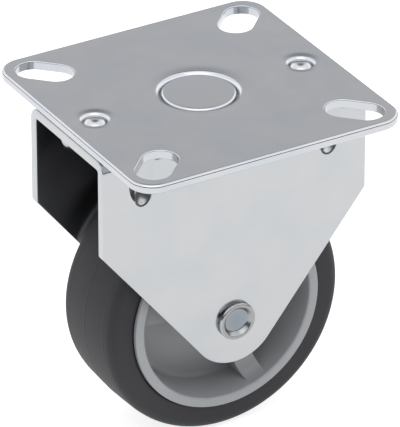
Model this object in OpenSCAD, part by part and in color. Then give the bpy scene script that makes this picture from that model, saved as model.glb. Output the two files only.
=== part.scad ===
// Fixed castor: a square top plate, a folded fork pressed to its underside, and a wheel
// that turns on a riveted axle. X is the rolling direction, Y is the axle's direction and
// Z is up. The origin is the centre of the top plate's upper face. Millimetres.

/* [Overall] */
// Height from the floor to the top of the plate
overall_h = 66.75; // [65:0.25:80]

/* [Top plate] */
// Length of the plate along the rolling direction
plate_l = 55.6; // [54:0.2:70]
// Width of the plate along the axle
plate_w = 55.6; // [54:0.2:70]
// Thickness of the plate
plate_t = 1.8; // [1.6:0.1:2.5]
// Radius of the plate's corners
plate_corner_r = 4.8; // [4:0.2:8]
// Radius of the plate's tumbled rim
plate_rim_r = 0.3; // [0.2:0.05:0.5]

/* [Screw slots] */
// Distance of a slot's centre from both of the plate's edges beside it
slot_inset = 7.1; // [6.6:0.1:8]
// Width of a slot
slot_w = 6.7; // [5:0.1:7]
// Length of a slot from end to end
slot_l = 11.1; // [9:0.1:12]

/* [Press joints] */
// Radius of the large round press at the middle of the plate
press_r = 8.1; // [6:0.1:9]
// How far the large press sinks
press_depth = 0.8; // [0.5:0.1:1.2]
// How much the large press narrows towards its floor
press_draft = 0.9; // [0.4:0.1:1.2]
// Radius of the two small press points
point_r = 2.7; // [2:0.1:3]
// How far the small press points sink
point_depth = 1.1; // [0.6:0.1:1.3]
// How much smaller the boss under a small press point is than the point
point_boss_inset = 0.35; // [0.2:0.05:0.5]
// Distance of a small press point from the plate's edge
point_inset = 6; // [5:0.1:7]
// Gap round a pressed boss in its seat
press_gap = 0.05; // [0.02:0.01:0.1]

/* [Fork] */
// How far each end of the fork lies inside the plate's edge
fork_inset = 0.05; // [0:0.05:1]
// Width of the fork over the outsides of its cheeks
fork_w = 26.9; // [26.5:0.1:32]
// Thickness of the fork's sheet
fork_t = 1.9; // [1.6:0.1:2.2]
// Inside radius of the two folds
fold_r = 0.55; // [0.4:0.05:1]
// Height of the cheek's upright edge below the plate
cheek_edge_h = 19.5; // [14:0.5:22]
// Rounding between the cheek's upright and slanted edges
cheek_corner_r = 1; // [0.5:0.1:3]
// Radius of the cheek's round foot about the axle
foot_r = 9; // [7:0.2:12]

/* [Gussets] */
// Distance of a gusset from the fork's end
gusset_inset = 8.15; // [7.5:0.05:9]
// Radius of the round groove that the gusset makes outside
gusset_r = 2.2; // [1.5:0.1:2.4]
// How far down the cheek a gusset reaches from the fork's top
gusset_drop = 10.5; // [8:0.5:12]
// Slope of a gusset against the fork's top
gusset_angle = 50; // [45:1:60]

/* [Axle] */
// Diameter of the rivet's shank
rivet_d = 6; // [5:0.1:6.4]
// Diameter of the rivet's closed heads
rivet_head_d = 8.1; // [8:0.1:10]
// How far a rivet head stands proud of the cheek
rivet_head_h = 1.1; // [1:0.1:2]
// Rounding of a rivet head's edge
rivet_edge_r = 0.5; // [0.2:0.05:0.5]
// Diameter of the dish in a rivet head, at its mouth
rivet_dish_d = 6; // [5:0.1:6.8]
// Diameter of the dish's floor
rivet_floor_d = 4.6; // [3:0.1:4.9]
// Depth of the dish in a rivet head
rivet_dish_h = 0.9; // [0.3:0.05:1]
// Outside diameter of the axle tube
tube_d = 8; // [7.5:0.1:9]
// Gap between the rivet's shank and the holes it passes through
rivet_gap = 0.05; // [0.02:0.01:0.1]

/* [Wheel] */
// Diameter of the wheel over its tread
wheel_d = 50; // [44:0.5:51]
// Width of the tyre
tyre_w = 18.1; // [14:0.1:18.6]
// Rounding of the tyre's shoulders
shoulder_r = 2; // [1:0.1:3]
// How much the tread drops from its middle to its shoulders
crown_h = 0.3; // [0.1:0.05:0.8]
// Diameter of the hub's rim, where the tyre sits
rim_d = 39.1; // [36:0.1:40]
// Width of the hub's rim
rim_w = 19.8; // [17:0.1:20]
// Thickness of the rim at its lips
rim_t = 1.9; // [1.5:0.1:3]
// How much the rim thickens towards the hub's disc
rim_draft = 0.7; // [0.2:0.1:1.2]
// Thickness of the hub's disc between the spokes
disc_t = 4; // [3:0.5:6]
// Diameter of the hub's boss
boss_d = 13; // [11:0.5:15]
// Width of a spoke
spoke_w = 4.2; // [3:0.2:6]
// How far the spokes lie below the rim's lips
spoke_drop = 3.7; // [3:0.1:5]
// Radius of the fillet where a spoke meets the rim
spoke_fillet_r = 3; // [1.5:0.1:4]
// Number of spokes on each side
spoke_count = 3; // [3:1:6]
// Direction of the first spoke
spoke_turn = 53; // [0:1:119]
// Length of the hub's boss
hub_l = 21; // [20:0.2:22]
// Gap between the boss and the front cheek, where the loose wheel rests
hub_gap = 0.2; // [0.1:0.05:0.4]
// Running gap between the hub's bore and the axle tube
bore_gap = 0.05; // [0.02:0.01:0.1]

/* [Hidden] */

// Segments in a full turn, and in the wide circle of the tread's crown
$fn = 96;
crown_fn = 768;

// Extra length that takes a cut clear of the face it leaves
clear = 1;

// Levels below the plate's upper face, which is Z = 0
fork_top_z = -plate_t;
axle_z = -(overall_h - wheel_d / 2);
cheek_corner_z = fork_top_z - cheek_edge_h;

// Plate
slot_x = plate_l / 2 - slot_inset;
slot_y = plate_w / 2 - slot_inset;
point_x = plate_l / 2 - point_inset;

// Fork
fork_l = plate_l - 2 * fork_inset;
gusset_x = fork_l / 2 - gusset_inset;
fold_outer_r = fold_r + fork_t;
fork_inner_w = fork_w - 2 * fork_t;
fork_drop = fork_top_z - axle_z + foot_r;

// Cheek outline: the slanted edge runs from the corner and touches the round foot
corner_x = fork_l / 2;
corner_h = cheek_corner_z - axle_z;
corner_reach = sqrt(corner_x * corner_x + corner_h * corner_h);
slant = atan2(corner_x, corner_h) - asin(foot_r / corner_reach);
slant_foot = [foot_r * cos(slant), axle_z - foot_r * sin(slant)];
corner_cut = cheek_corner_r * tan(slant / 2);

// Press joints
press_boss_r = press_r - press_draft / 2;
point_boss_r = point_r - point_boss_inset;

// Axle and wheel
rivet_hole_r = rivet_d / 2 + rivet_gap;
hub_bore_r = tube_d / 2 + bore_gap;
wheel_y = hub_l / 2 + hub_gap - fork_inner_w / 2;
rim_r = rim_d / 2;
rim_inner_r = rim_r - rim_t;
spoke_face = rim_w / 2 - spoke_drop;

// Repeats its children at the four corners of a rectangle, as mirror images
module at_corners(dx, dy) {
    for (x = [0, 1], y = [0, 1])
        mirror([x, 0, 0])
            mirror([0, y, 0])
                translate([dx, dy, 0])
                    children();
}

// Section of a sheet w wide and t thick with round edges, standing on the line y = 0
module rounded_section(w, t, r) {
    translate([-w / 2 + r, 0])
        square([w - 2 * r, t]);
    translate([-w / 2, r])
        square([w, t - 2 * r]);
    for (x = [-w / 2 + r, w / 2 - r], y = [r, t - r])
        translate([x, y])
            circle(r);
}

// Flat blank with round corners and a rounded rim, from z = 0 up to t
module rounded_blank(l, w, t, corner_r, rim_r) {
    at_corners(l / 2 - corner_r, w / 2 - corner_r)
        rotate_extrude()
            intersection() {
                rounded_section(2 * corner_r, t, rim_r);
                square([corner_r, t]);
            }
    rotate([90, 0, 90])
        linear_extrude(l - 2 * corner_r, center = true)
            rounded_section(w, t, rim_r);
    rotate([90, 0, 0])
        linear_extrude(w - 2 * corner_r, center = true)
            rounded_section(l, t, rim_r);
}

// Upright slot with round ends, its length along x
module slot_cut(l, w, h) {
    for (x = [-(l - w) / 2, (l - w) / 2])
        translate([x, 0, 0])
            cylinder(h, d = w, center = true);
    cube([l - w, w, h], center = true);
}

// Pressed cup that opens upwards: wide at z = 0, narrower at its floor
module press_cup(r, depth, draft) {
    translate([0, 0, -depth])
        cylinder(depth, r - draft, r);
    cylinder(clear, r, r);
}

// Punched bowl, a cap of a sphere that sinks from z = 0
module press_bowl(r, depth) {
    bowl_r = (r * r + depth * depth) / (2 * depth);
    translate([0, 0, bowl_r - depth])
        sphere(bowl_r);
}

// Top plate with its slots, and the presses that seat in the fork's web
module mounting_plate() {
    color([0.66, 0.67, 0.69])
        difference() {
            union() {
                translate([0, 0, -plate_t])
                    rounded_blank(plate_l, plate_w, plate_t, plate_corner_r, plate_rim_r);
                translate([0, 0, -plate_t - press_depth])
                    cylinder(press_depth + plate_t / 2, r = press_boss_r);
                for (s = [-1, 1])
                    translate([s * point_x, 0, -plate_t - point_depth])
                        cylinder(point_depth + plate_t / 2, r = point_boss_r);
            }
            at_corners(slot_x, slot_y)
                rotate([0, 0, atan2(slot_y, slot_x)])
                    slot_cut(slot_l, slot_w, 2 * plate_t + clear);
            press_cup(press_r, press_depth, press_draft);
            for (s = [-1, 1])
                translate([s * point_x, 0, 0])
                    press_bowl(point_r, point_depth);
        }
}

// Section across the fork: the outside of the fold, filled, hanging from y = 0
module fold_outline(w, r) {
    translate([-w / 2, -fork_drop])
        square([w, fork_drop - r]);
    translate([-w / 2 + r, -r - clear])
        square([w - 2 * r, r + clear]);
    for (x = [-w / 2 + r, w / 2 - r])
        translate([x, -r])
            circle(r);
}

// Filled block inside the fork's outer faces
module fork_envelope() {
    translate([0, 0, fork_top_z])
        rotate([90, 0, 90])
            linear_extrude(fork_l, center = true)
                fold_outline(fork_w, fold_outer_r);
}

// Space between the cheeks and under the web
module fork_channel() {
    translate([0, 0, fork_top_z - fork_t])
        rotate([90, 0, 90])
            linear_extrude(fork_l + 2 * clear, center = true)
                fold_outline(fork_inner_w, fold_r);
}

// Outline of a cheek seen along the axle, with x level and y upright
module cheek_outline() {
    polygon([
        [-corner_x, fork_top_z],
        [corner_x, fork_top_z],
        [corner_x, cheek_corner_z + corner_cut],
        [corner_x - corner_cut * sin(slant), cheek_corner_z - corner_cut * cos(slant)],
        slant_foot,
        [-slant_foot.x, slant_foot.y],
        [-corner_x + corner_cut * sin(slant), cheek_corner_z - corner_cut * cos(slant)],
        [-corner_x, cheek_corner_z + corner_cut]
    ]);
    for (s = [-1, 1])
        translate([s * (corner_x - cheek_corner_r), cheek_corner_z + corner_cut])
            circle(cheek_corner_r);
    translate([0, axle_z])
        circle(foot_r);
}

// Bar along the gusset at the corner of positive x and y, round below and straight-sided
// above. Its deepest line starts on the cheek's outer face, gusset_drop below the web, and
// climbs inwards to the web.
module gusset_bar(r) {
    bar_l = 4 * gusset_drop;
    translate([gusset_x, fork_w / 2, fork_top_z - gusset_drop])
        translate([0, gusset_r * sin(gusset_angle), gusset_r * cos(gusset_angle)])
            rotate([90 - gusset_angle, 0, 0]) {
                cylinder(bar_l, r = r, center = true);
                translate([-r, 0, -bar_l / 2])
                    cube([2 * r, gusset_drop, bar_l]);
            }
}

// Folded fork with its gussets, rivet holes and press seats
module fork() {
    color([0.8, 0.81, 0.83])
        difference() {
            union() {
                intersection() {
                    difference() {
                        fork_envelope();
                        fork_channel();
                    }
                    rotate([90, 0, 0])
                        linear_extrude(fork_w + clear, center = true)
                            cheek_outline();
                }
                intersection() {
                    at_corners(0, 0)
                        gusset_bar(gusset_r + fork_t);
                    fork_envelope();
                }
                translate([0, 0, fork_top_z - fork_t - press_depth])
                    cylinder(press_depth + fork_t / 2, r = press_boss_r);
                for (s = [-1, 1])
                    translate([s * point_x, 0, fork_top_z - fork_t - point_depth])
                        cylinder(point_depth + fork_t / 2, r = point_boss_r);
            }
            at_corners(0, 0)
                gusset_bar(gusset_r);
            translate([0, 0, fork_top_z - press_depth])
                cylinder(press_depth + clear, r = press_boss_r + press_gap);
            for (s = [-1, 1])
                translate([s * point_x, 0, fork_top_z - point_depth])
                    cylinder(point_depth + clear, r = point_boss_r + press_gap);
            translate([0, 0, axle_z])
                rotate([90, 0, 0])
                    cylinder(fork_w + clear, r = rivet_hole_r, center = true);
        }
}

// Half section of the rivet above its middle: x is the radius and y runs along the axle
module rivet_half_section() {
    shank_r = rivet_d / 2;
    head_r = rivet_head_d / 2;
    cheek_y = fork_w / 2;
    face_y = cheek_y + rivet_head_h;
    polygon([
        [0, 0],
        [shank_r, 0],
        [shank_r, cheek_y],
        [head_r, cheek_y],
        [head_r, face_y - rivet_edge_r],
        [head_r - rivet_edge_r, face_y],
        [rivet_dish_d / 2, face_y],
        [rivet_floor_d / 2, face_y - rivet_dish_h],
        [0, face_y - rivet_dish_h]
    ]);
    translate([head_r - rivet_edge_r, face_y - rivet_edge_r])
        circle(rivet_edge_r);
}

// Axle rivet, closed with a dished head on each cheek
module axle_rivet() {
    color([0.7, 0.71, 0.72])
        translate([0, 0, axle_z])
            rotate([90, 0, 0])
                rotate_extrude() {
                    rivet_half_section();
                    mirror([0, 1])
                        rivet_half_section();
                }
}

// Spacer tube between the cheeks, on which the wheel turns
module axle_tube() {
    color([0.6, 0.6, 0.62])
        translate([0, 0, axle_z])
            rotate([90, 0, 0])
                difference() {
                    cylinder(fork_inner_w, d = tube_d, center = true);
                    cylinder(fork_inner_w + clear, r = rivet_hole_r, center = true);
                }
}

// Half section of the hub without spokes: x is the radius and y runs along the axle
module hub_section() {
    translate([hub_bore_r, -hub_l / 2])
        square([boss_d / 2 - hub_bore_r, hub_l]);
    translate([hub_bore_r, -disc_t / 2])
        square([rim_r - hub_bore_r - rim_t / 2, disc_t]);
    polygon([
        [rim_inner_r, -rim_w / 2],
        [rim_r, -rim_w / 2],
        [rim_r, rim_w / 2],
        [rim_inner_r, rim_w / 2],
        [rim_inner_r - rim_draft, disc_t / 2],
        [rim_inner_r - rim_draft, -disc_t / 2]
    ]);
}

// Section along a spoke: flat face, with a round fillet up to the rim
module spoke_section() {
    fillet_x = rim_inner_r - spoke_fillet_r;
    translate([hub_bore_r, -spoke_face])
        square([rim_r - hub_bore_r - rim_t / 2, 2 * spoke_face]);
    for (s = [0, 1])
        mirror([0, s])
            difference() {
                translate([fillet_x, spoke_face - clear])
                    square([spoke_fillet_r + rim_t / 2, spoke_fillet_r + clear]);
                translate([fillet_x, spoke_face + spoke_fillet_r])
                    circle(spoke_fillet_r);
            }
}

// Moulded hub: rim, disc, boss and spokes in one piece
module wheel_hub() {
    color([0.62, 0.63, 0.65])
        translate([0, wheel_y, axle_z])
            rotate([90, 0, 0]) {
                rotate_extrude()
                    hub_section();
                for (k = [0 : spoke_count - 1])
                    intersection() {
                        rotate_extrude()
                            spoke_section();
                        rotate([0, 0, spoke_turn + k * 360 / spoke_count])
                            translate([0, -spoke_w / 2, -rim_w / 2])
                                cube([rim_r, spoke_w, rim_w]);
                    }
            }
}

// Section of the tyre: x is the radius and y runs along the axle
module tyre_section() {
    tread_r = wheel_d / 2;
    flat_half = tyre_w / 2 - shoulder_r;
    crown_r = (flat_half * flat_half + crown_h * crown_h) / (2 * crown_h);
    shoulder_x = tread_r - crown_h - shoulder_r;
    translate([rim_r, -tyre_w / 2])
        square([shoulder_x - rim_r, tyre_w]);
    for (y = [-flat_half, flat_half])
        translate([shoulder_x, y])
            circle(shoulder_r);
    intersection() {
        translate([rim_r, -flat_half])
            square([tread_r - rim_r + clear, 2 * flat_half]);
        translate([tread_r - crown_r, 0])
            circle(crown_r, $fn = crown_fn);
    }
}

// Soft tyre moulded round the hub's rim
module tyre() {
    color([0.26, 0.26, 0.28])
        translate([0, wheel_y, axle_z])
            rotate([90, 0, 0])
                rotate_extrude()
                    tyre_section();
}

mounting_plate();
fork();
axle_rivet();
axle_tube();
wheel_hub();
tyre();
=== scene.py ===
# %% [markdown]
# # A fixed castor, built from surfaces
#
# This lesson dresses a small fixed castor. Its solids are already packed at their real size, so
# they act as the frame: every surface made here has to lie where a solid lies. The castor has a
# zinc-plated plate and fork, a rivet, and a plastic hub with a soft tyre. Each is worked out with
# numpy as a grid of points, because a formula gives clean four-sided faces with soft edges, and
# soft edges are what catches the light on pressed steel.

# %% Load the frame
import math

import bmesh
import bpy
import numpy as np
from mathutils import Matrix, Vector
from mathutils.geometry import delaunay_2d_cdt


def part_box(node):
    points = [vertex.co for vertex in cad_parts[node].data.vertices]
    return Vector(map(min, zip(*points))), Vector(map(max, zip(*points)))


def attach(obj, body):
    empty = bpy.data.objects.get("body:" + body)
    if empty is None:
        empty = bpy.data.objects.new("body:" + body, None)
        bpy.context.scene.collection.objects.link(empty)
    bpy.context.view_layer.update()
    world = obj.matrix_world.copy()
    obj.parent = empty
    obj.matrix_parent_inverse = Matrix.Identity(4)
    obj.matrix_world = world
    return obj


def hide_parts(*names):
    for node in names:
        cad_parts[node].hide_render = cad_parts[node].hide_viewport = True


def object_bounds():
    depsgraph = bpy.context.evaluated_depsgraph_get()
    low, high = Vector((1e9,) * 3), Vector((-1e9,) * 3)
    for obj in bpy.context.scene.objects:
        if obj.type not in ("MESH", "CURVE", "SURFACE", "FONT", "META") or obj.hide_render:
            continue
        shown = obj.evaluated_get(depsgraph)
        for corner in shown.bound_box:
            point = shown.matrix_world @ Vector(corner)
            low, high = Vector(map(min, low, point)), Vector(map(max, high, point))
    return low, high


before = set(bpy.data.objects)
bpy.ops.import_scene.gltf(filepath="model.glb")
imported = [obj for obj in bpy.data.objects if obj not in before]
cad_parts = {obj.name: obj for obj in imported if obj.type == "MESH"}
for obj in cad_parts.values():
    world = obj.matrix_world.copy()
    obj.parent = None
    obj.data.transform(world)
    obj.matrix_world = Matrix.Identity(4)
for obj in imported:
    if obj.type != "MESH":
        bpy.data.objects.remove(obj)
cad_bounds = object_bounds()
MM = 0.001
print("CAD box in mm:", [[round(c / MM, 2) for c in corner] for corner in cad_bounds])

# %% [markdown]
# ## Sizes
#
# The outer sizes are read from the frame's boxes, so the surfaces follow the solids. Sizes that a
# box can't tell, such as a slot's width or a fold's radius, are written here once. An inset is
# measured inwards from the sheet's outline, and a drop downwards from its top. Lengths are in
# millimetres until a mesh is made.


# %% Sizes read from the solids
def box_mm(node):
    """Lowest and highest corner of a solid, in millimetres."""
    low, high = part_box(node)
    return np.array(low) / MM, np.array(high) / MM


plate_low, plate_high = box_mm("mounting_plate")
fork_low, fork_high = box_mm("fork")
rivet_low, rivet_high = box_mm("axle_rivet")
hub_low, hub_high = box_mm("wheel_hub")
tyre_low, tyre_high = box_mm("tyre")

plate_l, plate_w = plate_high[:2] - plate_low[:2]
fork_l, fork_w = fork_high[:2] - fork_low[:2]
fork_top = fork_high[2]
axle_z = (rivet_low[2] + rivet_high[2]) / 2
wheel_y = (hub_low[1] + hub_high[1]) / 2
rim_r = (hub_high[0] - hub_low[0]) / 2
hub_l = hub_high[1] - hub_low[1]
tread_r = (tyre_high[0] - tyre_low[0]) / 2
tyre_w = tyre_high[1] - tyre_low[1]
print(f"plate {plate_l:.1f} x {plate_w:.1f}, fork {fork_l:.1f} x {fork_w:.1f}, axle at {axle_z:.2f}")

# %% Sizes of the sheets that no box tells
PLATE_T = 1.8
PLATE_CORNER_R, PLATE_RIM_R = 4.8, 0.55
SLOT_W, SLOT_L, SLOT_EDGE_R = 6.7, 11.1, 0.22
SLOT_INSET, POINT_INSET = 7.1, 6.0
FORK_T, FOLD_R = 1.9, 0.55
CHEEK_EDGE_H, CHEEK_CORNER_R = 19.5, 1.0
FOOT_R = axle_z - fork_low[2]
SHEET_EDGE_R = 0.18
GUSSET_INSET, GUSSET_DROP = 8.15, 10.5
print(f"radius of the fork's foot {FOOT_R:.2f}")

# %% [markdown]
# ## From a grid of points to a mesh
#
# Every piece is a table of points with rows and columns, and a face joins four neighbours. A grid
# that closes on itself both ways, like a ring, needs no caps. Where a row shrinks to one point, the
# doubled points are merged, so that the surface is closed there too.

# %% Grid helpers
MERGE_MM, SLIVER_MM = 0.002, 0.0001


def quads(rows, cols, close_rows=False, close_cols=False):
    """Faces of a grid, as four point numbers each: a point, the next one in its row, and the two
    below them. A closed direction joins its last line of points to its first."""
    index = np.arange(rows * cols).reshape(rows, cols)
    if close_rows:
        index = np.vstack([index, index[:1]])
    if close_cols:
        index = np.hstack([index, index[:, :1]])
    corners = [index[:-1, :-1], index[:-1, 1:], index[1:, 1:], index[1:, :-1]]
    return np.stack(corners, axis=-1).reshape(-1, 4)


def sheet_part(points, close_rows=False, close_cols=False):
    """A grid of points (rows, columns, 3) as one list of points and the list of its faces."""
    rows, cols = points.shape[:2]
    return points.reshape(-1, 3), quads(rows, cols, close_rows, close_cols)


def weld(name, parts):
    """One object from several parts: their points are stacked, each part's face numbers move up
    by the points before it, points that nearly touch become one, and faces turn outwards."""
    points, faces, count = [], [], 0
    for part_points, part_faces in parts:
        points.append(part_points)
        faces.extend((np.asarray(part_faces) + count).tolist())
        count += len(part_points)
    mesh = bpy.data.meshes.new(name)
    mesh.from_pydata((np.vstack(points) * MM).tolist(), [], faces)
    work = bmesh.new()
    work.from_mesh(mesh)
    bmesh.ops.remove_doubles(work, verts=work.verts, dist=MERGE_MM * MM)
    bmesh.ops.dissolve_degenerate(work, edges=work.edges, dist=SLIVER_MM * MM)
    bmesh.ops.recalc_face_normals(work, faces=work.faces)
    open_edges = sum(1 for edge in work.edges if not edge.is_manifold)
    work.to_mesh(mesh)
    work.free()
    mesh.polygons.foreach_set("use_smooth", [True] * len(mesh.polygons))
    piece = bpy.data.objects.new(name, mesh)
    bpy.context.scene.collection.objects.link(piece)
    print(f"{name}: {len(mesh.vertices)} points, {len(mesh.polygons)} faces, {open_edges} open edges")
    return piece


def finish_piece(piece, body, node, material):
    """Rides the piece on its body in place of its solid, with its finish. Normals are weighted by
    face area, so that a wide flat keeps its own light right up to a narrow rounded edge."""
    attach(piece, body)
    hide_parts(node)
    piece.data.materials.append(material)
    weighted = piece.modifiers.new("flat faces stay flat", "WEIGHTED_NORMAL")
    weighted.mode = "FACE_AREA"


# %% [markdown]
# ## Outlines with round corners
#
# Sheared, pressed and moulded edges are never sharp. One function rounds every outline and every
# profile here: it takes the corners that a drawing would show and a radius for each.


# %% Round the corners of a line
def unit(vector):
    """The same direction with length one."""
    return vector / np.linalg.norm(vector)


def rounded(corners, radii, steps=6):
    """Line through corners, with an arc in place of each corner whose radius isn't zero. With h as
    half the angle at a corner, the arc of radius r touches the sides r / tan(h) from the corner,
    and its centre lies r / sin(h) away between them. Directions from the centre turn evenly from
    one touching point to the other."""
    corners = np.asarray(corners, float)
    pieces = []
    for i, (corner, r) in enumerate(zip(corners, radii)):
        if r == 0:
            pieces.append(corner[None])
            continue
        back = unit(corners[i - 1] - corner)
        ahead = unit(corners[i + 1] - corner)
        half = math.acos(np.clip(back @ ahead, -1, 1)) / 2
        centre = corner + unit(back + ahead) * r / math.sin(half)
        start = corner + back * r / math.tan(half) - centre
        end = corner + ahead * r / math.tan(half) - centre
        turn = math.pi - 2 * half
        t = np.linspace(0, 1, steps + 1)[:, None]
        arc = (np.sin((1 - t) * turn) * start + np.sin(t * turn) * end) / math.sin(turn)
        pieces.append(centre + arc)
    return np.vstack(pieces)


def fill_gaps(line, step):
    """The same line with extra points, so that no stretch is longer than step."""
    lengths = np.linalg.norm(np.diff(line, axis=0), axis=1)
    counts = np.maximum(1, np.ceil(lengths / step).astype(int))
    parts = [a + (b - a) * np.arange(n)[:, None] / n for a, b, n in zip(line, line[1:], counts)]
    return np.vstack([*parts, line[-1:]])


# %% [markdown]
# ## Mounting plate
#
# The plate is stamped from 1.8 mm sheet, so its top is flat and all its character is in its edges:
# the tumbled rim, the four slots and the three round presses. Each edge is a band, a small profile
# carried round an outline. The flat between the bands is filled with triangles, which can't be
# seen on a plane.


# %% Outlines of the plate
def stadium(length, width, turn, centre, arc_steps=28):
    """Slot outline and its outward directions. Two half circles of half the width stand at the
    ends, and the whole is turned and moved to its place."""
    angle = np.linspace(-math.pi / 2, math.pi / 2, arc_steps)
    angle = np.concatenate([angle, angle + math.pi])
    out = np.stack([np.cos(angle), np.sin(angle)], axis=1)
    line = out * width / 2
    line[:, 0] += np.where(np.arange(len(angle)) < arc_steps, 1, -1) * (length - width) / 2
    spin = np.array([[math.cos(turn), math.sin(turn)], [-math.sin(turn), math.cos(turn)]])
    return line @ spin + centre, out @ spin


def round_rectangle(length, width, r, arc_steps=14):
    """Outline of a rectangle with round corners, and its outward directions: each quarter circle
    keeps its own corner's centre."""
    quarter_turn = np.linspace(0, math.pi / 2, arc_steps)
    angle = np.concatenate([quarter_turn + k * math.pi / 2 for k in range(4)])
    out = np.stack([np.cos(angle), np.sin(angle)], axis=1)
    quarter = np.repeat(np.array([[1, 1], [-1, 1], [-1, -1], [1, -1]]), arc_steps, axis=0)
    return quarter * (np.array([length, width]) / 2 - r) + out * r, out


def all_round(centre, count):
    """A point as an outline, with directions that go once round it: the cosine and the sine of an
    evenly growing angle. A profile's offsets from such an outline are radii."""
    angle = np.linspace(0, 2 * math.pi, count, endpoint=False)
    out = np.stack([np.cos(angle), np.sin(angle)], axis=1)
    return np.broadcast_to(centre, out.shape), out


def band(outline, profile):
    """A profile of (outward offset, height) pairs carried round an outline: each point is the
    outline's point, moved outwards by the offset and lifted to the height."""
    line, out = outline
    offset, height = profile[:, 0], profile[:, 1]
    plane = line[None] + out[None] * offset[:, None, None]
    lift = np.broadcast_to(height[:, None, None], (len(profile), len(line), 1))
    return np.concatenate([plane, lift], axis=2)


# %% Profile of a sheared edge
def edge_profile(r, side):
    """Sheared edge seen from the side: top flat, rounding, wall, rounding, bottom flat. Side is -1
    where the metal lies inside the outline and 1 where it lies outside."""
    corners = [[side * r * 2, 0], [0, 0], [0, -PLATE_T], [side * r * 2, -PLATE_T]]
    return rounded(corners, [0, r, r, 0])


# %% [markdown]
# Plate and fork are pressed into each other at three places. From above, such a press is a button
# in a hole: the sheet sinks a little towards the hole, rolls over its shoulder into a narrow
# groove, and the button stands in the middle of it.

# %% Profile of a press
DRAW_W, DRAW_SAG = 0.82, 0.10
SHOULDER_ROUND = 0.9
GROOVE_LEAN = 0.02
COLLAR_POINTS, CAP_POINTS = 13, 14


def drawn_in(hole_r):
    """Collar round a hole where the sheet is drawn down: it sinks with the square of the way from
    the collar's outer radius to the hole's rolled shoulder. Its width grows with the root of the
    hole's radius."""
    way = np.linspace(0, 1, COLLAR_POINTS)
    return np.stack([hole_r + DRAW_W * math.sqrt(hole_r) * (1 - way), -DRAW_SAG * way**2], axis=1)


def button_profile(hole_r, shoulder_w, groove, button_r, button_edge_r, top, dome_r):
    """Press as (radius, height) pairs: drawn-in collar, rolled shoulder, narrow groove with walls
    that lean a little, the button's side and rounded edge, and its top, which is a cap of a
    sphere of radius dome_r."""
    inner_r = hole_r - shoulder_w
    drop = dome_r - math.sqrt(dome_r**2 - button_r**2)
    corners = [
        [hole_r, -DRAW_SAG], [inner_r, -DRAW_SAG - GROOVE_LEAN], [inner_r - GROOVE_LEAN, groove],
        [button_r + GROOVE_LEAN, groove], [button_r, top - drop], [0, top],
    ]
    radii = [0, shoulder_w * SHOULDER_ROUND, 0, 0, button_edge_r, 0]
    side = rounded(corners, radii, steps=10)
    cap = np.linspace(side[-2, 0], 0, CAP_POINTS)[:, None]
    cap = np.hstack([cap, top - dome_r + np.sqrt(dome_r**2 - cap**2)])
    return np.vstack([drawn_in(hole_r)[:-1], side[:-1], cap[1:]])


large_button = button_profile(
    hole_r=8.3, shoulder_w=1.2, groove=-1.3, button_r=6.95, button_edge_r=0.5, top=-0.22, dome_r=400
)
small_button = button_profile(
    hole_r=3.1, shoulder_w=0.95, groove=-1.15, button_r=2.04, button_edge_r=0.35, top=-0.03, dome_r=3.6
)
print("press profiles:", len(large_button), "and", len(small_button), "points")

# %% Places of the slots and presses
slot_x, slot_y = plate_l / 2 - SLOT_INSET, plate_w / 2 - SLOT_INSET
point_x = plate_l / 2 - POINT_INSET
slot_centres = [np.array([sx * slot_x, sy * slot_y]) for sx in (-1, 1) for sy in (-1, 1)]
slots = [stadium(SLOT_L, SLOT_W, math.atan2(centre[1], centre[0]), centre) for centre in slot_centres]
rim = round_rectangle(plate_l, plate_w, PLATE_CORNER_R)
press_centres = [np.zeros(2), np.array([point_x, 0.0]), np.array([-point_x, 0.0])]
print(f"slots at {slot_x:.2f}, {slot_y:.2f} and small presses at {point_x:.2f} from the middle")

# %% [markdown]
# The fill has to leave out the slots and presses. Blender's constrained triangulation keeps every
# outline as edges, and the triangles whose middle lies inside a hole are dropped.

# %% Flat fill between the bands
FILL_INSIDE_OUTLINES, FILL_NEAR = 1, 1e-7


def flat_fill(outer, holes, height):
    """Triangles of a plane at one height, inside the outer line and outside each hole. A triangle
    is kept where its middle passes the even-odd test: a ray from it crosses each hole's line an
    even number of times."""
    loops = [outer, *holes]
    points = np.vstack(loops)
    edges, start = [], 0
    for loop in loops:
        ring = start + np.arange(len(loop))
        edges += np.stack([ring, np.roll(ring, -1)], axis=1).tolist()
        start += len(loop)
    made = delaunay_2d_cdt([Vector(p) for p in points], edges, [], FILL_INSIDE_OUTLINES, FILL_NEAR)
    flat = np.array([tuple(p) for p in made[0]])
    faces = np.array(made[2])
    middle = flat[faces].mean(axis=1)
    keep = np.ones(len(faces), bool)
    for hole in holes:
        a, b = hole, np.roll(hole, -1, axis=0)
        above = (a[None, :, 1] > middle[:, 1:]) != (b[None, :, 1] > middle[:, 1:])
        run = b[:, 1] - a[:, 1]
        slope = np.divide(b[:, 0] - a[:, 0], run, out=np.zeros(len(run)), where=run != 0)
        crossing = a[None, :, 0] + (middle[:, 1:] - a[None, :, 1]) * slope[None]
        keep &= (above & (middle[:, :1] < crossing)).sum(axis=1) % 2 == 0
    return np.column_stack([flat, np.full(len(flat), height)]), faces[keep]


# %% Assemble the plate
def loop_of(grid, row):
    """One row of a band as a flat outline."""
    return grid[row, :, :2]


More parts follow.
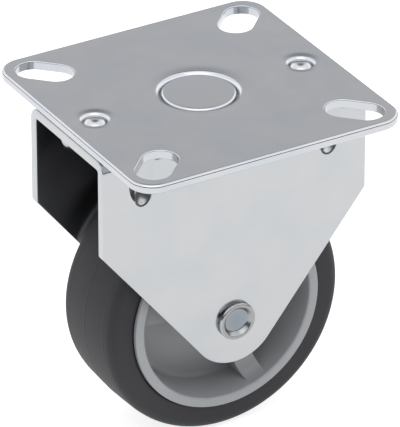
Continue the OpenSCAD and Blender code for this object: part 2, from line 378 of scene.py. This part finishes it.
rim_band = band(rim, edge_profile(PLATE_RIM_R, -1))
slot_bands = [band(slot, edge_profile(SLOT_EDGE_R, 1)) for slot in slots]
large_press = band(all_round(press_centres[0], count=128), large_button)
small_presses = [band(all_round(centre, count=64), small_button) for centre in press_centres[1:]]
press_bands = [large_press, *small_presses]
top_holes = [loop_of(hole, 0) for hole in slot_bands + press_bands]
bottom_holes = [loop_of(hole, -1) for hole in slot_bands]
fills = [
    flat_fill(loop_of(rim_band, 0), top_holes, 0.0),
    flat_fill(loop_of(rim_band, -1), bottom_holes, -PLATE_T),
]
bands = [sheet_part(grid, close_cols=True) for grid in [rim_band, *slot_bands, *press_bands]]
plate = weld("plate_stamping", fills + bands)

# %% [markdown]
# ## Fork
#
# The fork is one strip of sheet, folded twice. Its surface is a grid too: the rows follow each
# other from one foot over the web to the other foot, and the points of a row go across the strip,
# round its edge and back on the inner side. The cheek's outline gives each row its width. The four
# gussets were pressed in after folding, so they are a last step: each point that lies inside the
# press tool is moved level to the tool's face.

# %% Outline of a cheek
LONG_STEP, ROW_STEP = 2.5, 0.26
GUSSET_MARGIN, ROW_GAP = 1.6, 0.2
FOOT_POINTS = 16

fold_outer_r = FOLD_R + FORK_T
fold_start = fork_top - fold_outer_r
half_l = fork_l / 2
corner_z = fork_top - CHEEK_EDGE_H
corner_h = corner_z - axle_z
slant = math.atan2(half_l, corner_h) - math.asin(FOOT_R / math.hypot(half_l, corner_h))
foot_touch = [FOOT_R * math.cos(slant), axle_z - FOOT_R * math.sin(slant)]
print(f"the cheek's lower edges lean by {math.degrees(slant):.1f} degrees")


def cheek_edge():
    """Right half of the cheek's outline from the lowest point up to the fold: the foot's arc, the
    slanted edge that touches it, a small round corner and the upright edge. From a little below
    the gussets upwards, its points stand close together."""
    angle = np.linspace(0, math.pi / 2 - slant, FOOT_POINTS)
    foot = np.stack([FOOT_R * np.sin(angle), axle_z - FOOT_R * np.cos(angle)], axis=1)
    corners = [foot_touch, [half_l, corner_z], [half_l, fold_start]]
    side = fill_gaps(rounded(corners, [0, CHEEK_CORNER_R, 0]), LONG_STEP)
    gusset_low = fork_top - GUSSET_DROP - GUSSET_MARGIN
    below = side[side[:, 1] < gusset_low - ROW_GAP]
    rows = int((fold_start - gusset_low) / ROW_STEP)
    dense = np.stack([np.full(rows, half_l), np.linspace(gusset_low, fold_start, rows)], axis=1)
    return np.vstack([foot[:-1], below, dense])


def edge_directions(line):
    """Outward directions of the outline: the line's own direction turned a quarter. The lowest
    point faces straight down."""
    ahead = np.gradient(line, axis=0)
    out = np.stack([ahead[:, 1], -ahead[:, 0]], axis=1)
    out /= np.linalg.norm(out, axis=1)[:, None]
    out[0] = [0, -1]
    return out


# %% Rows of the strip
FOLD_ROWS, WEB_ROWS, MIDDLE_ROWS = 12, 28, 7
WEB_MIDDLE = 4.0


def strip_rows():
    """The strip as rows: half width, position (y, z) on its outer face, outward direction of that
    face, direction towards the foot, and the outline's outward direction (across, towards foot).
    One half goes up the front cheek, round the fold and to the web's middle; the other mirrors it."""
    edge = cheek_edge()
    cheek_y = fork_w / 2
    fold_y = cheek_y - fold_outer_r
    turn = np.linspace(0, math.pi / 2, FOLD_ROWS)[1:]
    web_side = np.linspace(fold_y, WEB_MIDDLE, WEB_ROWS)[1:]
    web_y = np.concatenate([web_side, np.linspace(WEB_MIDDLE, 0, MIDDLE_ROWS)[1:]])
    upright, web = len(edge), len(web_y)
    width = np.concatenate([edge[:, 0], np.full(len(turn) + web, half_l)])
    y = np.concatenate([np.full(upright, cheek_y), fold_y + fold_outer_r * np.cos(turn), web_y])
    z = np.concatenate([edge[:, 1], fold_start + fold_outer_r * np.sin(turn), np.full(web, fork_top)])
    tilt = np.concatenate([np.zeros(upright), turn, np.full(web, math.pi / 2)])
    face = np.stack([np.cos(tilt), np.sin(tilt)], axis=1)
    down = np.stack([np.sin(tilt), -np.cos(tilt)], axis=1)
    level = np.tile([1.0, 0.0], (len(turn) + web, 1))
    edge_out = np.vstack([edge_directions(edge) * [1, -1], level])
    front = [width[:, None], np.stack([-y, z], axis=1), face * [-1, 1], down * [-1, 1], edge_out]
    back = [width[:, None], np.stack([y, z], axis=1), face, down, edge_out]
    return [np.vstack([a, b[::-1][1:]]) for a, b in zip(front, back)]


# %% [markdown]
# Columns stand close together beside the gussets, where the press leaves steep walls, and far
# apart on the plain middle of the cheek.

# %% Columns of the strip
COLUMN_STEP, COLUMN_REACH = 0.16, 4.9
MIDDLE_COLUMNS, END_COLUMNS = 9, 7


def strip_columns():
    """Positions across the strip from -1 to 1, with fine steps as far as a gusset can reach."""
    gusset_x = half_l - GUSSET_INSET
    flat_half = half_l - SHEET_EDGE_R
    fine = np.arange(gusset_x - COLUMN_REACH, gusset_x + COLUMN_REACH, COLUMN_STEP)
    middle = np.linspace(0, fine[0], MIDDLE_COLUMNS)[:-1]
    end = np.linspace(fine[-1], flat_half, END_COLUMNS)[1:]
    right = np.concatenate([middle, fine, end]) / flat_half
    return np.concatenate([-right[:0:-1], right])


def edge_stations():
    """How the surface rounds the sheet's edge: (distance inside the outline, depth into the
    sheet) from the outer face to the inner face."""
    corners = [[1, 0], [0, 0], [0, FORK_T], [1, FORK_T]]
    return rounded(corners, [0, SHEET_EDGE_R, SHEET_EDGE_R, 0], steps=4)[1:-1]


def fork_strip():
    """Grid of the folded sheet before the gussets are pressed, and each point's depth in it. A
    point is the row's place on the outer face, less the depth along the face's direction and the
    distance inside the outline along the outline's direction."""
    width, place, face, down, out = strip_rows()
    across = strip_columns()
    inside, depth = edge_stations().T
    on_face, at_edge = np.ones(len(across)), np.ones(len(inside))
    inside = np.concatenate([SHEET_EDGE_R * on_face, inside, SHEET_EDGE_R * on_face, inside[::-1]])
    depth = np.concatenate([0 * on_face, depth, FORK_T * on_face, depth[::-1]])
    across = np.concatenate([across, at_edge, across[::-1], -at_edge])
    x = across * (width - inside * out[:, :1])
    inward = down[:, None] * (inside * out[:, 1:])[..., None]
    yz = place[:, None] - face[:, None] * depth[None, :, None] - inward
    return np.concatenate([x[..., None], yz], axis=2), depth


# %% [markdown]
# The press tool is an upright bar with a lower end that curves out of the sheet, so it leaves a
# dent like the bowl of a spoon. No point of the sheet may stay inside the tool, so each is moved
# level towards the middle until it touches the tool's face. A soft limit instead of a hard one
# leaves the small radius that real sheet keeps.

# %% Press the gussets
GUSSET_SECTION_R = 1.9
GUSSET_END_R, GUSSET_END_SLOPE = 9.0, math.radians(39)
GUSSET_SOFT = 0.3
ARC_SHARE = 0.97
WALL_SHARE = 0.3


def soft_excess(value, soft):
    """Positive part of a value with a round start: zero below -soft, the value above soft, and a
    parabola between them."""
    eased = (value + soft) ** 2 / (4 * soft)
    return np.where(value < -soft, 0, np.where(value > soft, value, eased))


def press_gussets(points, depth):
    """Pushes points level until they lie on the tool. Its lower end is an arc that leaves the sheet
    at the end slope and is upright where the reach is full. Further down, where the tool is clear
    of the sheet, the arc ends at a share of its radius, so that the root stays real. Across, the
    tool's face is a parabola: half the square of the distance over the section's radius. The
    inner face meets a tool that is wider by a share of the wall, as the stretched sheet is
    thinner on the flanks."""
    x, y, z = np.abs(points[..., 0]), np.abs(points[..., 1]), points[..., 2]
    arc_start = fork_top - GUSSET_DROP + GUSSET_END_R * math.sin(GUSSET_END_SLOPE)
    under = np.clip(arc_start - z, 0, ARC_SHARE * GUSSET_END_R)
    reach = np.sqrt(GUSSET_END_R**2 - under**2) - GUSSET_END_R * math.cos(GUSSET_END_SLOPE)
    across = (x - (half_l - GUSSET_INSET)) ** 2 / 2
    outer = fork_w / 2 - reach + across / GUSSET_SECTION_R
    inner = fork_w / 2 - FORK_T - reach + across / (GUSSET_SECTION_R + WALL_SHARE * FORK_T)
    tool = np.where(depth < FORK_T / 2, outer, inner)
    pressed = points.copy()
    pressed[..., 1] -= np.sign(points[..., 1]) * soft_excess(y - tool, GUSSET_SOFT)
    return pressed


# %% [markdown]
# The presses that hold the plate also show under the web, as three low round bosses. They are
# turned shapes, so one small function makes them from a profile, and the same function serves the
# rivet and the tyre later.


# %% Turned shapes
def turned(profile, axis_point, axis, count):
    """Surface of revolution: a profile of (radius, height) pairs turned about an axis. A point is
    the axis point, plus the height along the axis, plus the radius along a direction that goes
    once round it. Any line that isn't the axis itself serves to find the first direction."""
    axis = unit(np.asarray(axis, float))
    other_line = [0, 0, 1] if abs(axis[2]) < 0.9 else [0, 1, 0]
    first = unit(np.cross(axis, other_line))
    second = np.cross(axis, first)
    angle = np.linspace(0, 2 * math.pi, count, endpoint=False)[None, :, None]
    spoke = np.cos(angle) * first + np.sin(angle) * second
    radius, height = profile[:, 0][:, None, None], profile[:, 1][:, None, None]
    return np.asarray(axis_point, float) + radius * spoke + height * axis


# %% Bosses under the web
WEB_BOSS_SIZES = [(7.65, 0.8), (2.35, 1.1), (2.35, 1.1)]
WEB_BOSS_EDGE_R, WEB_BOSS_ROOT = 0.35, 0.2


def web_boss_profile(r, height):
    """Low boss under the web: flat face, rounded edge, side, and a closed end inside the web."""
    corners = [[0, height], [r, height], [r, -WEB_BOSS_ROOT], [0, -WEB_BOSS_ROOT]]
    return rounded(corners, [0, WEB_BOSS_EDGE_R, 0, 0])


web_bosses = [
    turned(web_boss_profile(r, height), [*centre, fork_top - FORK_T], [0, 0, -1], count=64)
    for centre, (r, height) in zip(press_centres, WEB_BOSS_SIZES)
]

# %% Assemble the fork
strip, strip_depth = fork_strip()
strip = press_gussets(strip, strip_depth)
fork = weld("fork_folding", [sheet_part(grid, close_cols=True) for grid in [strip, *web_bosses]])

# %% [markdown]
# ## Rivet
#
# The rivet is turned steel, closed with a press that leaves a ring round a shallow dish. Both heads
# are the same, so half a profile is mirrored.

# %% Rivet
RIVET_SHANK_R, RIVET_FOOT_IN = 3.0, 0.6
DISH_R, DISH_FLOOR_R, DISH_DEPTH = 3.0, 2.3, 0.9
DISH_RISE, RING_FALL = 0.05, 0.04
FLOOR_ROUND, RING_INNER_ROUND, RING_OUTER_ROUND = 0.5, 0.25, 0.4


def rivet_profile():
    """Half section from the dish's centre over the ring and down to the shank, then its mirror."""
    head_r = (rivet_high[0] - rivet_low[0]) / 2
    face_y = (rivet_high[1] - rivet_low[1]) / 2
    cheek_y = fork_w / 2
    floor_y = face_y - DISH_DEPTH
    corners = [
        [0, floor_y + DISH_RISE], [DISH_FLOOR_R, floor_y], [DISH_R, face_y - RING_FALL],
        [head_r, face_y], [head_r - RIVET_FOOT_IN, cheek_y], [RIVET_SHANK_R, cheek_y],
        [RIVET_SHANK_R, 0],
    ]
    half = rounded(corners, [0, FLOOR_ROUND, RING_INNER_ROUND, RING_OUTER_ROUND, 0, 0, 0], steps=8)
    return np.vstack([half, half[-2::-1] * [1, -1]])


rivet_grid = turned(rivet_profile(), [0, 0, axle_z], [0, 1, 0], count=96)
rivet = weld("rivet_turning", [sheet_part(rivet_grid, close_cols=True)])

# %% [markdown]
# ## Hub
#
# The hub is one plastic moulding: a rim ring, a thin disc, a boss, and three spokes on each side.
# Between two spokes its section is a deep pocket, and along a spoke it is a flat face with a large
# fillet up to the rim. Both sections are drawn with the same number of points, and each column of
# the grid mixes them by its distance from the nearest spoke.

# %% Sizes of the hub
RIM_W, RIM_T, RIM_DRAFT = 19.8, 1.9, 0.7
DISC_T, BOSS_D, BORE_R = 4.0, 13.0, 4.05
SPOKE_W, SPOKE_DROP, SPOKE_FILLET_R = 4.2, 3.7, 3.0
SPOKE_COUNT, SPOKE_TURN = 3, math.radians(53)
BORE_EDGE_R, BOSS_EDGE_R, LIP_INNER_R, LIP_OUTER_R = 0.35, 0.4, 0.45, 0.3
BOSS_DRAFT, SPOKE_DRAFT = 0.15, 0.05

# %% Two sections of the hub
ARC_STEPS = 7
FLOOR_PARTS, WALL_PARTS = 14, 6


def hub_section(floor, floor_r, wall_foot_r, wall_foot):
    """Section as (radius, height): bore, boss, floor, rim wall, lip and outside of the rim, then
    its mirror, so that it closes on itself at the bore. The floor and the rim wall are cut into
    a set number of even parts, so that every section has the same number of points."""
    lip, boss_r = rim_r - RIM_T, BOSS_D / 2
    corners = [
        [BORE_R, 0], [BORE_R, hub_l / 2], [boss_r, hub_l / 2], [boss_r + BOSS_DRAFT, floor],
        [wall_foot, floor], [lip, RIM_W / 2], [rim_r, RIM_W / 2], [rim_r, 0],
    ]
    radii = [0, BORE_EDGE_R, BOSS_EDGE_R, floor_r, wall_foot_r, LIP_INNER_R, LIP_OUTER_R, 0]
    line = rounded(corners, radii, steps=ARC_STEPS)
    parts = [line[:1]]
    for i, count in enumerate((1, 1, FLOOR_PARTS, WALL_PARTS, 1, 1)):
        start, end = 1 + i * (ARC_STEPS + 1), 1 + (i + 1) * (ARC_STEPS + 1)
        arc, ahead = line[start:end], line[end]
        between = arc[-1] + (ahead - arc[-1]) * (np.arange(1, count) / count)[:, None]
        parts += [arc, between]
    half = np.vstack([*parts, line[-1:]])
    return np.vstack([half, half[-2:0:-1] * [1, -1]])


# %% Grid of the hub
SPOKE_SOFT, SPOKE_SIDE = 0.3, 3.0
FLAT_PLACES, SIDE_PLACE = (0, 0.8, 1.5), 2.7
EDGE_STEPS = np.array([0.08, 0.15, 0.22, 0.35])
POCKET_COLUMNS = 30


def spoke_columns():
    """Columns of one sector as (distance beside the spoke, share of the way to the next spoke).
    They stand closest at the spoke's edge, where the section changes."""
    edge = SPOKE_W / 2
    at_edge = np.concatenate([edge - EDGE_STEPS[::-1], [edge], edge + EDGE_STEPS])
    near = np.concatenate([FLAT_PLACES, at_edge, [SIDE_PLACE, SPOKE_SIDE]])
    beside = np.concatenate([-near[:0:-1], near, np.full(POCKET_COLUMNS, SPOKE_SIDE)])
    share = np.concatenate([np.zeros(2 * len(near) - 1), np.linspace(0, 1, POCKET_COLUMNS + 2)[1:-1]])
    return beside, share


def hub_grid():
    """Points of the hub. The column's angle is the spoke's, plus the arc sine of the distance
    beside it over the radius, so that a spoke keeps its width. Past the spoke the angle moves
    evenly to the next one. The mix of the two sections goes from spoke to pocket over a soft edge."""
    lip = rim_r - RIM_T
    pocket = hub_section(floor=DISC_T / 2, floor_r=0.8, wall_foot_r=1.0, wall_foot=lip - RIM_DRAFT)
    spoke = hub_section(
        floor=RIM_W / 2 - SPOKE_DROP, floor_r=0.5, wall_foot_r=SPOKE_FILLET_R, wall_foot=lip - SPOKE_DRAFT
    )
    beside, share = spoke_columns()
    t = np.clip((SPOKE_W / 2 + SPOKE_SOFT / 2 - np.abs(beside)) / SPOKE_SOFT, 0, 1)
    mix = (t * t * (3 - 2 * t))[None, :, None]
    section = pocket[:, None] * (1 - mix) + spoke[:, None] * mix
    radius, height = section[..., 0], section[..., 1]
    sector = 2 * math.pi / SPOKE_COUNT
    gap = sector - 2 * np.arcsin(SPOKE_SIDE / radius)
    angle = SPOKE_TURN + np.arcsin(beside / radius) + share * gap
    angle = np.concatenate([angle + k * sector for k in range(SPOKE_COUNT)], axis=1)
    radius, height = np.tile(radius, (1, SPOKE_COUNT)), np.tile(height, (1, SPOKE_COUNT))
    return np.stack([radius * np.cos(angle), wheel_y - height, axle_z + radius * np.sin(angle)], axis=2)


hub = weld("hub_moulding", [sheet_part(hub_grid(), close_rows=True, close_cols=True)])

# %% [markdown]
# ## Tyre
#
# The tyre is moulded onto the rim. Its tread is slightly crowned, and the mould leaves a fine raised
# line where its halves meet in the middle, and another near each shoulder.

# %% Tyre
SHOULDER_R, CROWN_H = 2.0, 0.3
FLASH_H, FLASH_HALF, FLASH_INSET = 0.05, 0.12, 0.6
SEAT_GAP = 0.01
TREAD_POINTS, SHOULDER_POINTS, WALL_POINTS = 121, 12, 7


def tyre_profile():
    """Closed section: seat on the rim, both side walls with round shoulders, and the tread. The
    tread's height falls with the square of the distance from the middle, and each mould line adds
    a small bell to it. Seat and tread keep a hundredth of a millimetre inside the solid."""
    half = tyre_w / 2
    flat = half - SHOULDER_R
    across = np.linspace(-flat, flat, TREAD_POINTS)
    crown = CROWN_H * (across / flat) ** 2
    line_places = (0.0, -flat + FLASH_INSET, flat - FLASH_INSET)
    lines = sum(FLASH_H * np.exp(-(((across - place) / FLASH_HALF) ** 2)) for place in line_places)
    tread = np.stack([tread_r - SEAT_GAP - FLASH_H - crown + lines, across], axis=1)
    angle = np.linspace(0, math.pi / 2, SHOULDER_POINTS)[1:]
    shoulder = tread[-1] + SHOULDER_R * np.stack([np.cos(angle) - 1, np.sin(angle)], axis=1)
    wall = np.linspace(shoulder[-1, 0], rim_r + SEAT_GAP, WALL_POINTS)[1:]
    side = np.vstack([shoulder, np.stack([wall, np.full(len(wall), half)], axis=1)])
    return np.vstack([side[::-1] * [1, -1], tread, side])


tyre_grid = turned(tyre_profile(), [0, wheel_y, axle_z], [0, 1, 0], count=192)
tyre = weld("tyre_moulding", [sheet_part(tyre_grid, close_rows=True, close_cols=True)])

# %% [markdown]
# ## Finishes
#
# A node tree is easier to read when small helpers add the nodes. The constants that are the same
# all over a finish go straight onto the shader's sockets, and only what varies gets nodes.


# %% Node helpers
def new_finish(name, **constants):
    """Material with one shader, its constant inputs set by name."""
    material = bpy.data.materials.new(name)
    material.use_nodes = True
    shader = material.node_tree.nodes["Principled BSDF"]
    for socket, value in constants.items():
        shader.inputs[socket.replace("_", " ")].default_value = value
    return material, shader


def add_node(nodes, kind, operation=None, inputs=None):
    """New node of a kind, with its operation and some inputs set, by name or by number."""
    node = nodes.new("ShaderNode" + kind)
    if operation:
        node.operation = operation
    for socket, value in (inputs or {}).items():
        node.inputs[socket].default_value = value
    return node


def add_ramp(nodes, stops):
    """Colour ramp from pairs of (place from 0 to 1, colour), lowest first."""
    ramp = nodes.new("ShaderNodeValToRGB")
    marks = ramp.color_ramp.elements
    marks[0].position, marks[1].position = stops[0][0], stops[-1][0]
    for place, _ in stops[1:-1]:
        marks.new(place)
    for mark, (_, colour) in zip(marks, stops):
        mark.color = (*colour, 1)
    return ramp


def grey(value):
    """A grey as red, green and blue."""
    return (value, value, value)


# %% [markdown]
# No real surface is even. Noise drives what varies: a slow drift of the colour, a slow drift of the
# gloss, and a fine grain in the surface.


# %% Noise and grain
def noise(material, scale, detail, low, high):
    """Noise on object coordinates, passed through a ramp of two stops, each of them a pair of
    (noise value, colour). Gives the ramp's colour socket."""
    nodes, links = material.node_tree.nodes, material.node_tree.links
    place = add_node(nodes, "TexCoord")
    texture = add_node(nodes, "TexNoise", inputs={"Scale": scale, "Detail": detail})
    ramp = add_ramp(nodes, [low, high])
    links.new(place.outputs["Object"], texture.inputs["Vector"])
    links.new(texture.outputs["Fac"], ramp.inputs["Fac"])
    return ramp.outputs["Color"]


def add_grain(material, shader, scale, height_mm):
    """Fine surface texture: noise used as height, a few thousandths of a millimetre deep."""
    nodes, links = material.node_tree.nodes, material.node_tree.links
    height = noise(material, scale, detail=3, low=(0.3, grey(0)), high=(0.7, grey(1)))
    bump = add_node(nodes, "Bump", inputs={"Strength": 1.0, "Distance": height_mm * MM})
    links.new(height, bump.inputs["Height"])
    links.new(bump.outputs["Normal"], shader.inputs["Normal"])


# %% [markdown]
# Zinc and steel are metals, so they show little but what they reflect. The zinc's tint drifts
# between two near greys, as plating does. The rivet is darker, and its tint depends on the
# distance from the axle: the dish is darker and bluer towards its middle, the ring is grey, a
# lighter band on the ring's outer edge is a painted highlight, and the near-black side of the head
# is painted shade.


# %% Metals
def metal(name, tint_of, gloss_low, gloss_high, grain_mm):
    """Metal whose tint comes from a function that adds nodes to the material and gives a colour
    socket. Its roughness drifts between two values, and a fine grain lies over all."""
    material, shader = new_finish(name, Metallic=1.0)
    links = material.node_tree.links
    links.new(tint_of(material), shader.inputs["Base Color"])
    gloss = noise(material, scale=160, detail=4, low=(0.35, grey(gloss_low)), high=(0.65, grey(gloss_high)))
    links.new(gloss, shader.inputs["Roughness"])
    add_grain(material, shader, scale=2600, height_mm=grain_mm)
    return material


def drifting(dark, light):
    """Tint that drifts slowly between two colours."""
    return lambda material: noise(material, scale=95, detail=3, low=(0.38, dark), high=(0.64, light))


def by_radius(stops):
    """Tint that depends on the distance from the axle: the point's place is moved by the axle's
    height, its part along the axle is taken out, and the length that is left goes into a ramp
    whose stops are (radius in millimetres, colour)."""
    last_r = stops[-1][0]

    def tint_of(material):
        nodes, links = material.node_tree.nodes, material.node_tree.links
        place = add_node(nodes, "TexCoord")
        across = add_node(nodes, "VectorMath", "MULTIPLY_ADD", {1: (1, 0, 1), 2: (0, 0, -axle_z * MM)})
        radius = add_node(nodes, "VectorMath", "LENGTH")
        reach = add_node(nodes, "MapRange", inputs={"From Max": last_r * MM})
        ramp = add_ramp(nodes, [(r / last_r, colour) for r, colour in stops])
        links.new(place.outputs["Object"], across.inputs[0])
        links.new(across.outputs["Vector"], radius.inputs[0])
        links.new(radius.outputs["Value"], reach.inputs["Value"])
        links.new(reach.outputs["Result"], ramp.inputs["Fac"])
        return ramp.outputs["Color"]

    return tint_of


# %% Zinc of the plate and fork, steel of the tube
plate_tint = drifting(dark=(0.505, 0.525, 0.565), light=(0.535, 0.545, 0.565))
plate_zinc = metal("plate zinc", plate_tint, gloss_low=0.15, gloss_high=0.20, grain_mm=0.0008)
fork_tint = drifting(dark=(0.465, 0.48, 0.495), light=(0.49, 0.495, 0.505))
fork_zinc = metal("fork zinc", fork_tint, gloss_low=0.15, gloss_high=0.20, grain_mm=0.0006)
tube_tint = drifting(dark=(0.42, 0.45, 0.48), light=(0.52, 0.53, 0.54))
tube_steel = metal("tube steel", tube_tint, gloss_low=0.16, gloss_high=0.26, grain_mm=0.001)

# %% Steel of the rivet with painted highlight and shade, from the middle of the dish out to the head's side
# Painted light: the stop at 3.7 mm is a painted highlight on the ring's edge, and the stops from 3.95 mm out
# paint the head's side near black as painted shade.
rivet_tint_painted_light = by_radius([
    (0.0, (0.22, 0.25, 0.28)), (2.2, (0.26, 0.285, 0.31)), (2.7, (0.33, 0.335, 0.34)),
    (3.4, (0.31, 0.31, 0.315)), (3.7, (0.42, 0.43, 0.44)), (3.85, (0.36, 0.37, 0.38)),
    (3.95, (0.10, 0.10, 0.10)), (4.1, (0.08, 0.08, 0.08)),
])
rivet_steel_painted_light = metal("rivet steel with painted light", rivet_tint_painted_light, gloss_low=0.16, gloss_high=0.26, grain_mm=0.001)


# %% Plastic and rubber
def moulded(name, dark, light, roughness, specular, grain_scale, grain_mm):
    """Moulded plastic or rubber: an even colour with a slight drift, and a fine mould texture."""
    material, shader = new_finish(name, Roughness=roughness, Specular_IOR_Level=specular)
    colour = noise(material, scale=60, detail=3, low=(0.35, dark), high=(0.65, light))
    material.node_tree.links.new(colour, shader.inputs["Base Color"])
    add_grain(material, shader, grain_scale, grain_mm)
    return material


hub_plastic = moulded(
    "hub plastic", dark=(0.295, 0.305, 0.32), light=(0.315, 0.325, 0.34),
    roughness=0.42, specular=0.5, grain_scale=2200, grain_mm=0.003,
)
tyre_rubber = moulded(
    "tyre rubber", dark=(0.026, 0.025, 0.029), light=(0.031, 0.030, 0.034),
    roughness=0.6, specular=0.3, grain_scale=3000, grain_mm=0.004,
)

# %% [markdown]
# ## Put the pieces on their bodies
#
# Plate, fork and rivet are one rigid bracket. Hub and tyre turn together on the axle tube. The tube
# hardly shows, so its solid stays and only gets a steel finish.

# %% Ride, replace and finish
finish_piece(plate, "bracket", "mounting_plate", plate_zinc)
finish_piece(fork, "bracket", "fork", fork_zinc)
finish_piece(rivet, "bracket", "axle_rivet", rivet_steel_painted_light)
finish_piece(hub, "wheel", "wheel_hub", hub_plastic)
finish_piece(tyre, "wheel", "tyre", tyre_rubber)
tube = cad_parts["axle_tube"]
tube.data.materials.clear()
tube.data.materials.append(tube_steel)
print("finishes:", [piece.data.materials[0].name for piece in (plate, fork, rivet, hub, tyre, tube)])

# %% [markdown]
# ## Floor, light and camera
#
# The castor stands on its wheel on a pale floor. Bright metal shows its surroundings, so the light
# is built for what the metal sees: the cheeks mirror the white floor, the top mirrors a grey card
# beyond it, and the rounded edges catch the bright tent round the castor.

# %% Floor
FLOOR_SIZE = 6.0
floor_z = cad_bounds[0][2]
floor_ends = (-FLOOR_SIZE / 2, FLOOR_SIZE / 2)
floor_points = [(x, y, floor_z) for y in floor_ends for x in floor_ends]
floor_mesh = bpy.data.meshes.new("floor")
floor_mesh.from_pydata(floor_points, [], [(0, 1, 3, 2)])
floor = bpy.data.objects.new("floor", floor_mesh)
bpy.context.scene.collection.objects.link(floor)
floor_paint, _ = new_finish(
    "floor paint",
    Base_Color=(0.40, 0.40, 0.40, 1), Roughness=0.9, Specular_IOR_Level=0.1,
    Emission_Color=(1, 1, 1, 1), Emission_Strength=0.79,
)
floor_mesh.materials.append(floor_paint)
print(f"floor at {floor_z / MM:.2f} mm")

# %% [markdown]
# The surroundings are two ramps of brightness over height: one for the card beyond the castor and
# one for the tent. A ramp is a list of pairs, the sine of the height over the horizon and the
# brightness there.

# %% World
CARD_DIRECTION = (0.503, 0.864, 0)
CARD_EDGE, CARD_FULL = 0.93, 0.985
TENT_TILT = 0.2
CARD_LEVELS = [
    (0.0, 0.12), (0.22, 0.15), (0.34, 0.75), (0.53, 0.72), (0.66, 0.25), (0.84, 0.25), (0.93, 1.5), (1.0, 1.7)
]
TENT_LEVELS = [(0.0, 0.10), (0.25, 0.13), (0.36, 1.6), (0.66, 1.6), (0.80, 1.25), (1.0, 1.4)]
MIX_A, MIX_B, MIX_RESULT = 6, 7, 2


def brightness_ramp(nodes, levels):
    """Ramp of greys for a height that is mapped from -1..1 to 0..1."""
    return add_ramp(nodes, [((height + 1) / 2, grey(level)) for height, level in levels])


def studio_world():
    """World with a card beyond the castor and an open bright tent all round. The card takes over
    where the compass direction turns towards it, told by the cosine of the angle between them.
    The same cosine tilts the tent, whose dark lower band is higher behind the camera. The mix
    node's colour sockets share their names with others, so they go by number."""
    world = bpy.data.worlds.new("studio")
    bpy.context.scene.world = world
    world.use_nodes = True
    nodes, links = world.node_tree.nodes, world.node_tree.links
    place = add_node(nodes, "TexCoord")
    split = add_node(nodes, "SeparateXYZ")
    height = add_node(nodes, "MapRange", inputs={"From Min": -1})
    level = add_node(nodes, "VectorMath", "MULTIPLY", {1: (1, 1, 0)})
    compass = add_node(nodes, "VectorMath", "NORMALIZE")
    beyond = add_node(nodes, "VectorMath", "DOT_PRODUCT", {1: CARD_DIRECTION})
    share = add_node(nodes, "MapRange", inputs={"From Min": CARD_EDGE, "From Max": CARD_FULL})
    tilted = add_node(nodes, "Math", "MULTIPLY_ADD", {1: TENT_TILT / 2})
    mix = add_node(nodes, "Mix")
    mix.data_type = "RGBA"
    near, far = brightness_ramp(nodes, TENT_LEVELS), brightness_ramp(nodes, CARD_LEVELS)
    links.new(place.outputs["Generated"], split.inputs["Vector"])
    links.new(place.outputs["Generated"], level.inputs[0])
    links.new(level.outputs["Vector"], compass.inputs[0])
    links.new(compass.outputs["Vector"], beyond.inputs[0])
    links.new(split.outputs["Z"], height.inputs["Value"])
    links.new(beyond.outputs["Value"], share.inputs["Value"])
    links.new(beyond.outputs["Value"], tilted.inputs[0])
    links.new(height.outputs["Result"], tilted.inputs[2])
    links.new(tilted.outputs["Value"], near.inputs["Fac"])
    links.new(height.outputs["Result"], far.inputs["Fac"])
    links.new(share.outputs["Result"], mix.inputs["Factor"])
    links.new(near.outputs["Color"], mix.inputs[MIX_A])
    links.new(far.outputs["Color"], mix.inputs[MIX_B])
    links.new(mix.outputs[MIX_RESULT], nodes["Background"].inputs["Color"])
    print("world:", len(nodes), "nodes")


studio_world()

# %% Soft light
LIGHT_PLACE, LIGHT_TARGET = Vector((-0.21, -0.37, 1.17)), Vector((0, 0, -0.03))
LIGHT_SIZE, LIGHT_WATTS = 1.1, 2

light_data = bpy.data.lights.new("key", "AREA")
light_data.shape = "SQUARE"
light_data.size = LIGHT_SIZE
light_data.energy = LIGHT_WATTS
light = bpy.data.objects.new("key", light_data)
light.location = LIGHT_PLACE
light.rotation_euler = (LIGHT_TARGET - LIGHT_PLACE).to_track_quat("-Z", "Y").to_euler()
light.visible_camera = False
bpy.context.scene.collection.objects.link(light)
print(f"light {(LIGHT_TARGET - LIGHT_PLACE).length:.2f} m away")

# %% [markdown]
# The camera's numbers come from lining up the plate's outline, the slots, the presses and the wheel
# with the picture. A long lens from a metre away gives the same mild perspective.

# %% Camera
IMAGE_H, FOCAL_PX = 427, 5784.4
AZIMUTH, ELEVATION = -0.5273920, 0.5106038
DISTANCE, AIM_RIGHT, AIM_UP = 1057.6, 0.2317, -22.526
SENSOR = 36.0

level_reach = math.cos(ELEVATION)
towards = np.array([math.sin(AZIMUTH) * level_reach, -math.cos(AZIMUTH) * level_reach, math.sin(ELEVATION)])
right = unit(np.cross(-towards, [0, 0, 1]))
up = np.cross(right, -towards)
camera_place = (AIM_RIGHT * right + AIM_UP * up + DISTANCE * towards) * MM
camera_turn = Matrix(np.stack([right, up, towards], axis=1).tolist())
camera_data = bpy.data.cameras.new("camera")
camera_data.sensor_fit = "VERTICAL"
camera_data.sensor_height = SENSOR
camera_data.lens = FOCAL_PX * SENSOR / IMAGE_H
camera = bpy.data.objects.new("camera", camera_data)
camera.matrix_world = Matrix.Translation(camera_place) @ camera_turn.to_4x4()
bpy.context.scene.collection.objects.link(camera)
bpy.context.scene.camera = camera
bpy.context.scene.view_settings.view_transform = "Standard"
print("camera at", [round(c, 3) for c in camera_place], "lens", round(camera_data.lens, 1))
